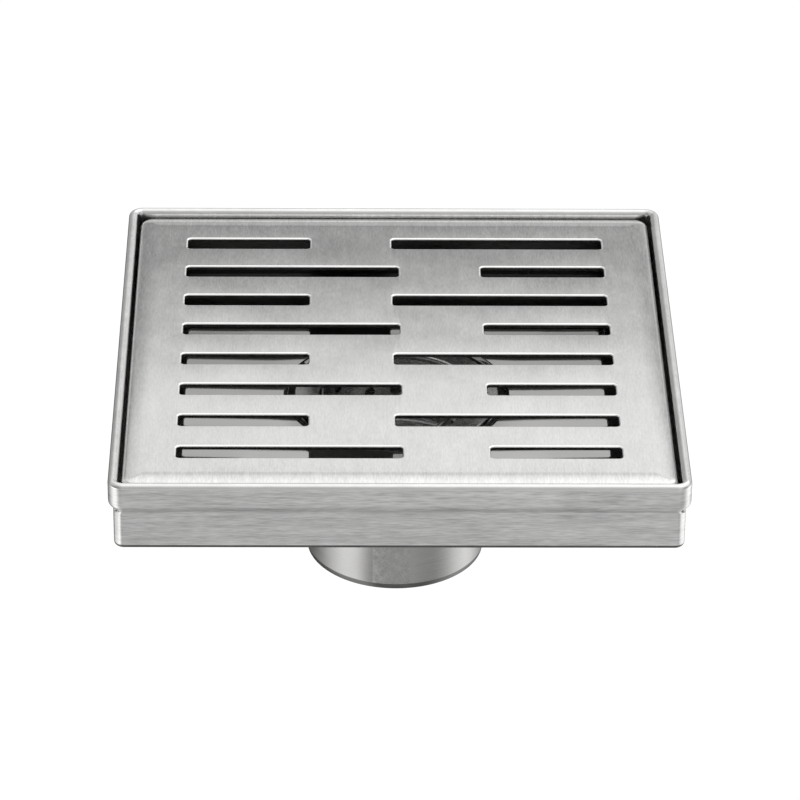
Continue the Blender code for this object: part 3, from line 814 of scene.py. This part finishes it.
def make_foot(name):
    """A moulded rubber pad with rounded edges and two grooves across its sole."""
    low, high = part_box("grate_foot_" + name)
    bm = bmesh.new()
    centre = (low + high) / 2
    half = (high - low) / 2
    rounding = [FOOT_ROUND * (1 - cos(k / FOOT_STEPS * pi / 2)) for k in range(FOOT_STEPS + 1)]
    xs = [-half.x + r for r in rounding] + [half.x - r for r in rounding[::-1]]
    flat = half.y - FOOT_ROUND
    ys = [-half.y + r for r in rounding]
    ys += [-flat + 2 * flat * k / SOLE_STEPS for k in range(1, SOLE_STEPS)]
    ys += [half.y - r for r in rounding[::-1]]

    def past_flat(value, limit):
        over = max(abs(value) - (limit - FOOT_ROUND), 0.0) / FOOT_ROUND
        return min(over, 1.0)

    def height(x, y, upper):
        over = min(hypot(past_flat(x, half.x), past_flat(y, half.y)), 1.0)
        z = half.z - FOOT_ROUND * (1 - sqrt(max(1 - over * over, 0.0)))
        if upper:
            return z
        cut = sum(exp(-(((y - side * half.y * GROOVE_PLACE) / GROOVE_WIDE) ** 4)) for side in (-1, 1))
        return -(z - GROOVE_DEPTH * min(cut, 1.0) * (1 - over))

    grids = []
    for upper in (True, False):
        grid = [[bm.verts.new(centre + Vector((x, y, height(x, y, upper)))) for y in ys] for x in xs]
        grids.append(grid)
        for i in range(len(xs) - 1):
            for j in range(len(ys) - 1):
                bm.faces.new((grid[i][j], grid[i + 1][j], grid[i + 1][j + 1], grid[i][j + 1]))
    top, base = grids
    last_x, last_y = len(xs) - 1, len(ys) - 1
    rim = [(i, 0) for i in range(last_x)] + [(last_x, j) for j in range(last_y)]
    rim += [(i, last_y) for i in range(last_x, 0, -1)] + [(0, j) for j in range(last_y, 0, -1)]
    bridge(bm, [top[i][j] for i, j in rim], [base[i][j] for i, j in rim])
    piece("foot_" + name, bm, [FOOT_RUBBER], "grate", ["grate_foot_" + name], sharp=60)


make_plate()
make_legs()


# ---------------------------------------------------------------- strainer

CUP_SHEET = 0.8 * MM
CUP_INNER = 21.0 * MM
MOUTH_BEND = 1.5 * MM
BASE_BEND = 3.0 * MM
HOLE_RADIUS = 1.5 * MM
HOLE_PITCH = 5.2 * MM
HOLE_RINGS = 3
WALL_HOLES = 18
WALL_HOLE_DROPS = (6.5 * MM, 11.5 * MM, 16.5 * MM)
HOLE_SIDES = 20
CUP_STEPS = 108
CUP_SHARP = 40
CUP_EDGE = 0.15 * MM


def hole_centres():
    centres = []
    for i in range(-HOLE_RINGS, HOLE_RINGS + 1):
        for j in range(-HOLE_RINGS, HOLE_RINGS + 1):
            x = (i + j / 2) * HOLE_PITCH
            y = j * sqrt(3) / 2 * HOLE_PITCH
            if hypot(x, y) < (HOLE_RINGS + 0.1) * HOLE_PITCH and abs(i + j) <= HOLE_RINGS:
                centres.append((x, y))
    return centres


def make_cup():
    top = CUP_HIGH.z
    base = CUP_LOW.z
    flange = CUP_HIGH.x
    outer = CUP_INNER + CUP_SHEET
    inside = [(0.0, base + CUP_SHEET)]
    inside += arc(CUP_INNER - BASE_BEND, base + CUP_SHEET + BASE_BEND, BASE_BEND, -pi / 2, 0, 8)
    inside += arc(CUP_INNER + MOUTH_BEND, top - MOUTH_BEND, MOUTH_BEND, pi, pi / 2, 8)
    lip = [(flange - CUP_EDGE, top), (flange, top - CUP_EDGE)]
    lip += [(flange, top - CUP_SHEET + CUP_EDGE), (flange - CUP_EDGE, top - CUP_SHEET)]
    outside = arc(outer + MOUTH_BEND - CUP_SHEET, top - MOUTH_BEND, MOUTH_BEND - CUP_SHEET, pi / 2, pi, 6)
    base_bend = BASE_BEND + CUP_SHEET
    outside += arc(outer - base_bend, base + base_bend, base_bend, 0, -pi / 2, 8)
    outside += [(0.0, base)]
    bm = bmesh.new()
    turned(bm, inside + lip + outside, CUP_STEPS, closed=False)
    cup = piece(
        "strainer_basket", bm, [CUP_STEEL], "strainer", ["strainer_cup"], sharp=CUP_SHARP,
    )
    cutter = bmesh.new()
    for x, y in hole_centres():
        bmesh.ops.create_cone(
            cutter, cap_ends=True, segments=HOLE_SIDES, radius1=HOLE_RADIUS, radius2=HOLE_RADIUS,
            depth=4 * CUP_SHEET, matrix=Matrix.Translation((x, y, base + CUP_SHEET / 2)),
        )
    for row, drop in enumerate(WALL_HOLE_DROPS):
        for k in range(WALL_HOLES):
            place = (
                Matrix.Rotation(2 * pi * (k + 0.5 * (row % 2)) / WALL_HOLES, 4, "Z")
                @ Matrix.Translation((CUP_INNER + CUP_SHEET / 2, 0, top - drop))
                @ Matrix.Rotation(pi / 2, 4, "Y")
            )
            bmesh.ops.create_cone(
                cutter, cap_ends=True, segments=HOLE_SIDES, radius1=HOLE_RADIUS, radius2=HOLE_RADIUS,
                depth=4 * CUP_SHEET, matrix=place,
            )
    mesh = bpy.data.meshes.new("punch")
    cutter.to_mesh(mesh)
    cutter.free()
    punch = bpy.data.objects.new("punch", mesh)
    bpy.context.scene.collection.objects.link(punch)
    holes = cup.modifiers.new("holes", "BOOLEAN")
    holes.operation = "DIFFERENCE"
    holes.solver = "EXACT"
    holes.object = punch
    cup.modifiers.remove(cup.modifiers["normals"])
    bpy.context.view_layer.update()
    graph = bpy.context.evaluated_depsgraph_get()
    punched = bpy.data.meshes.new_from_object(cup.evaluated_get(graph))
    cup.modifiers.clear()
    cup.data = punched
    bpy.data.objects.remove(punch)
    punched.set_sharp_from_angle(angle=radians(CUP_SHARP))
    weigh_normals(cup)


EAR_HOLE = 1.3 * MM
EAR_STEPS = 48
EAR_EDGE = 0.08 * MM
# The upper corners are cut off at this many half heights from the hole's centre
EAR_REACH = 1.3


def ear_rim(half_height, inset):
    """(y, z) points round a lug: square above the hole, rounded below it."""
    points = []
    for k in range(EAR_STEPS):
        a = 2 * pi * (k + 0.5) / EAR_STEPS
        c, s = cos(a), sin(a)
        reach = half_height if s < 0 else half_height / max(abs(c), abs(s))
        reach = min(reach, half_height * EAR_REACH) - inset
        points.append((reach * c, reach * s))
    return points


def ear_bore(inset):
    radius = EAR_HOLE + inset
    angles = [2 * pi * (k + 0.5) / EAR_STEPS for k in range(EAR_STEPS)]
    return [(radius * cos(a), radius * sin(a)) for a in angles]


def make_ears():
    """Lugs with a hole, their lower corners rounded."""
    for name in ("left", "right"):
        low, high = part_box("bail_ear_" + name)
        centre = (low + high) / 2
        half = (high - low) / 2
        bm = bmesh.new()
        across = ((-half.x, EAR_EDGE), (-half.x + EAR_EDGE, 0), (half.x - EAR_EDGE, 0), (half.x, EAR_EDGE))
        outlines = [(x, ear_bore(inset)) for x, inset in across]
        outlines += [(x, ear_rim(half.z, inset)) for x, inset in across[::-1]]
        rings = []
        for x, points in outlines:
            rings.append(add_ring(bm, [centre + Vector((x, y, z)) for y, z in points]))
        for i, ring in enumerate(rings):
            bridge(bm, ring, rings[(i + 1) % len(rings)])
        ear = "bail_ear_" + name
        piece("bail_lug_" + name, bm, [CUP_STEEL], "strainer", [ear], sharp=50)


BAIL_HALF_WIDTH = 16.5 * MM
BAIL_HEIGHT = 13.2 * MM
BAIL_DROP = 2.2 * MM
BAIL_BEND_X = 0.75 * MM
BAIL_BEND_Z = 0.55 * MM
BAIL_ARCH_STEPS = 18
BAIL_ARCH_START = radians(190)
BAIL_ARCH_END = radians(350)
WIRE_RADIUS = 1.0 * MM
WIRE_SIDES = 20
WIRE_EASE = 0.25 * MM


def smooth_path(points, steps):
    """Catmull-Rom through the points."""
    padded = [2 * points[0] - points[1]] + points + [2 * points[-1] - points[-2]]
    made = []
    for p0, p1, p2, p3 in zip(padded, padded[1:], padded[2:], padded[3:]):
        for k in range(steps):
            t = k / steps
            bend = (2 * p0 - 5 * p1 + 4 * p2 - p3) * t * t
            made.append(0.5 * ((2 * p1) + (p2 - p0) * t + bend + (3 * p1 - p0 - 3 * p2 + p3) * t ** 3))
    made.append(points[-1])
    return made


def tube(bm, path, radius, sides, ease):
    """A round wire along a path in the XZ plane, with softened ends."""
    rings = []
    count = len(path)
    angles = [2 * pi * k / sides for k in range(sides)]
    for i, p in enumerate(path):
        before = path[max(i - 1, 0)]
        after = path[min(i + 1, count - 1)]
        along = (after - before).normalized()
        across = Vector((0, 1, 0))
        up = along.cross(across)
        sizes = [radius]
        places = [p]
        if i == 0:
            sizes = [radius - ease, radius - ease * 0.3, radius]
            places = [p, p + along * ease * 0.3, p + along * ease]
        if i == count - 1:
            sizes = [radius, radius - ease * 0.3, radius - ease]
            places = [p - along * ease, p - along * ease * 0.3, p]
        for size, place in zip(sizes, places):
            rings.append(add_ring(bm, [place + (across * cos(a) + up * sin(a)) * size for a in angles]))
    for a, b in zip(rings, rings[1:]):
        bridge(bm, a, b)
    bm.faces.new(rings[0])
    bm.faces.new(rings[-1][::-1])


def make_bail():
    z = CUP_HIGH.z - BAIL_DROP
    tip = BAIL_HIGH.x
    arch = []
    for k in range(BAIL_ARCH_STEPS + 1):
        a = BAIL_ARCH_START + (BAIL_ARCH_END - BAIL_ARCH_START) * k / BAIL_ARCH_STEPS
        arch.append(Vector((BAIL_HALF_WIDTH * cos(a), 0, BAIL_HEIGHT * sin(a))))
    bend_x = BAIL_HALF_WIDTH + BAIL_BEND_X
    corner = ((-tip, 0), (-bend_x - 2 * BAIL_BEND_Z, 0), (-bend_x, -BAIL_BEND_Z))
    entry = [Vector((x, 0, drop)) for x, drop in corner]
    leave = [Vector((-p.x, 0, p.z)) for p in reversed(entry)]
    path = [p + Vector((0, 0, z)) for p in smooth_path(entry + arch + leave, 3)]
    bm = bmesh.new()
    tube(bm, path, WIRE_RADIUS, WIRE_SIDES, WIRE_EASE)
    piece("bail_wire", bm, [WIRE_STEEL], "bail", ["strainer_bail"], sharp=50)


make_cup()
make_ears()
make_bail()


# ---------------------------------------------------------------- floor, light, camera

WHITE_GLOW = 1.05
FLOOR_SIZE = 6.0
FLOOR_DROP = 0.02 * MM


def make_floor():
    """A white ground that glows upwards and is clear from below."""
    bm = bmesh.new()
    bmesh.ops.create_grid(bm, x_segments=4, y_segments=4, size=FLOOR_SIZE)
    mesh = bpy.data.meshes.new("floor")
    bm.to_mesh(mesh)
    bm.free()
    floor = bpy.data.objects.new("floor", mesh)
    floor.location.z = -FLOOR_DROP
    bpy.context.scene.collection.objects.link(floor)
    material = bpy.data.materials.new("floor_white")
    material.use_nodes = True
    tree = material.node_tree
    tree.nodes.clear()
    glow = node(tree, "ShaderNodeEmission")
    glow.inputs["Color"].default_value = (1, 1, 1, 1)
    glow.inputs["Strength"].default_value = WHITE_GLOW
    clear = node(tree, "ShaderNodeBsdfTransparent")
    side = node(tree, "ShaderNodeNewGeometry")
    both = node(tree, "ShaderNodeMixShader")
    out = node(tree, "ShaderNodeOutputMaterial")
    tree.links.new(side.outputs["Backfacing"], both.inputs[0])
    tree.links.new(glow.outputs[0], both.inputs[1])
    tree.links.new(clear.outputs[0], both.inputs[2])
    tree.links.new(both.outputs[0], out.inputs[0])
    mesh.materials.append(material)
    floor.visible_glossy = False
    floor.visible_diffuse = False
    floor.visible_shadow = False


# Brightness by the angle in the YZ plane: 0 is behind, 90 overhead, 180 the camera's side
AROUND = (
    (-180, 0.50), (-20, 0.50), (-12, 0.66), (4, 0.74), (10, 0.64), (16, 0.56), (25, 0.58), (27.5, 0.36),
    (28.6, 0.09), (29.2, 0.09), (29.5, 0.44), (29.8, 1.60), (30.4, 1.78), (31.2, 1.09), (32.2, 0.89),
    (33.5, 0.80), (35, 0.80), (38, 1.05), (45, 1.3), (60, 1.25), (75, 1.15), (90, 1.25), (104, 1.15),
    (116, 0.9), (132, 0.65), (150, 0.55), (180, 0.50),
)
# Gain across the object for light from above, by the direction's X from -1 to 1
ABOVE = (
    (-1.0, 0.45), (-0.5, 0.58), (-0.2, 0.85), (0.0, 0.99),
    (0.2, 1.20), (0.4, 1.35), (0.6, 1.10), (1.0, 0.60),
)
# Brightness below the horizon, by the heading: 0 is the camera's side, 90 the right
BELOW = (
    (-180, 0.65), (-174, 0.50), (-165, 0.10), (-150, 0.10), (-134, 0.20), (-112, 0.50), (-88, 1.20),
    (-71, 1.65), (-50, 1.60), (-40, 0.90), (-30, 0.50), (-10, 0.55), (0, 0.60), (20, 0.60), (50, 0.45),
    (65, 0.65), (82, 1.20), (103, 1.65), (122, 1.10), (150, 0.28), (165, 0.20), (174, 0.50), (180, 0.65),
)


def make_world():
    """White to the camera; the pieces are lit by the three tables above."""
    world = bpy.data.worlds.new("studio")
    bpy.context.scene.world = world
    world.use_nodes = True
    tree = world.node_tree
    tree.nodes.clear()
    place = node(tree, "ShaderNodeTexCoord")
    parts = node(tree, "ShaderNodeSeparateXYZ")
    tree.links.new(place.outputs["Generated"], parts.inputs[0])
    x, y, z = parts.outputs
    climb = math_node(tree, "ARCTAN2", z, y)
    around = ramp_node(tree, spread(tree, climb, -pi, pi, 0, 1), AROUND, -180, 180)
    across = ramp_node(tree, spread(tree, x, -1, 1, 0, 1), ABOVE, -1, 1)
    above = math_node(tree, "MULTIPLY", around, across)
    heading = math_node(tree, "ARCTAN2", x, math_node(tree, "MULTIPLY", y, -1.0))
    ring = ramp_node(tree, spread(tree, heading, -pi, pi, 0, 1), BELOW, -180, 180)
    # Dimmer straight down, and blended into the upper light from a quarter below the horizon
    below = math_node(tree, "MULTIPLY", ring, spread(tree, z, -1.0, -0.6, 0.55, 1.0))
    height = spread(tree, z, -0.25, 0.0, 0, 1)
    difference = math_node(tree, "SUBTRACT", above, below)
    light = math_node(tree, "ADD", below, math_node(tree, "MULTIPLY", difference, height))
    soft = node(tree, "ShaderNodeBackground")
    tree.links.new(light, soft.inputs["Strength"])
    soft.inputs["Color"].default_value = (1, 1, 1, 1)
    white = node(tree, "ShaderNodeBackground")
    white.inputs["Color"].default_value = (1, 1, 1, 1)
    white.inputs["Strength"].default_value = WHITE_GLOW
    path = node(tree, "ShaderNodeLightPath")
    both = node(tree, "ShaderNodeMixShader")
    out = node(tree, "ShaderNodeOutputWorld")
    tree.links.new(path.outputs["Is Camera Ray"], both.inputs[0])
    tree.links.new(soft.outputs[0], both.inputs[1])
    tree.links.new(white.outputs[0], both.inputs[2])
    tree.links.new(both.outputs[0], out.inputs[0])


def ramp_node(tree, value, stops, low, high):
    made = node(tree, "ShaderNodeValToRGB")
    fill_ramp(made.color_ramp, [((x - low) / (high - low), v) for x, v in stops])
    tree.links.new(value, made.inputs[0])
    return made.outputs[0]


def fill_ramp(ramp, stops):
    while len(ramp.elements) > 1:
        ramp.elements.remove(ramp.elements[-1])
    first, *rest = stops
    ramp.elements[0].position = first[0]
    ramp.elements[0].color = (first[1],) * 3 + (1,)
    for position, value in rest:
        ramp.elements.new(position).color = (value,) * 3 + (1,)


CAMERA_ELEVATION = radians(30.8615)
CAMERA_YAW = radians(-1.0143)
CAMERA_ROLL = radians(0.6278)
CAMERA_DISTANCE = 1.24513
CAMERA_SHIFT = (0.000836, -0.015435)
LENS = 204.35


def make_camera():
    e, yaw, roll = CAMERA_ELEVATION, CAMERA_YAW, CAMERA_ROLL
    back = Vector((sin(yaw) * cos(e), -cos(yaw) * cos(e), sin(e)))
    right = Vector((cos(yaw), sin(yaw), 0))
    up = back.cross(right)
    tilted = cos(roll) * right + sin(roll) * up
    tilted_up = -sin(roll) * right + cos(roll) * up
    place = Vector((0, 0, GRATE_TOP_Z)) + back * CAMERA_DISTANCE
    place += tilted * CAMERA_SHIFT[0] + tilted_up * CAMERA_SHIFT[1]
    camera = bpy.data.objects.new("camera", bpy.data.cameras.new("camera"))
    camera.data.lens = LENS
    camera.data.sensor_width = 36
    camera.data.clip_start = 0.05
    camera.data.clip_end = 50
    turn = Matrix((tilted, tilted_up, back)).transposed()
    camera.matrix_world = Matrix.Translation(place) @ turn.to_4x4()
    bpy.context.scene.collection.objects.link(camera)
    bpy.context.scene.camera = camera


make_floor()
make_world()
make_camera()
bpy.context.scene.view_settings.view_transform = "Standard"
bpy.context.scene.view_settings.look = "None"
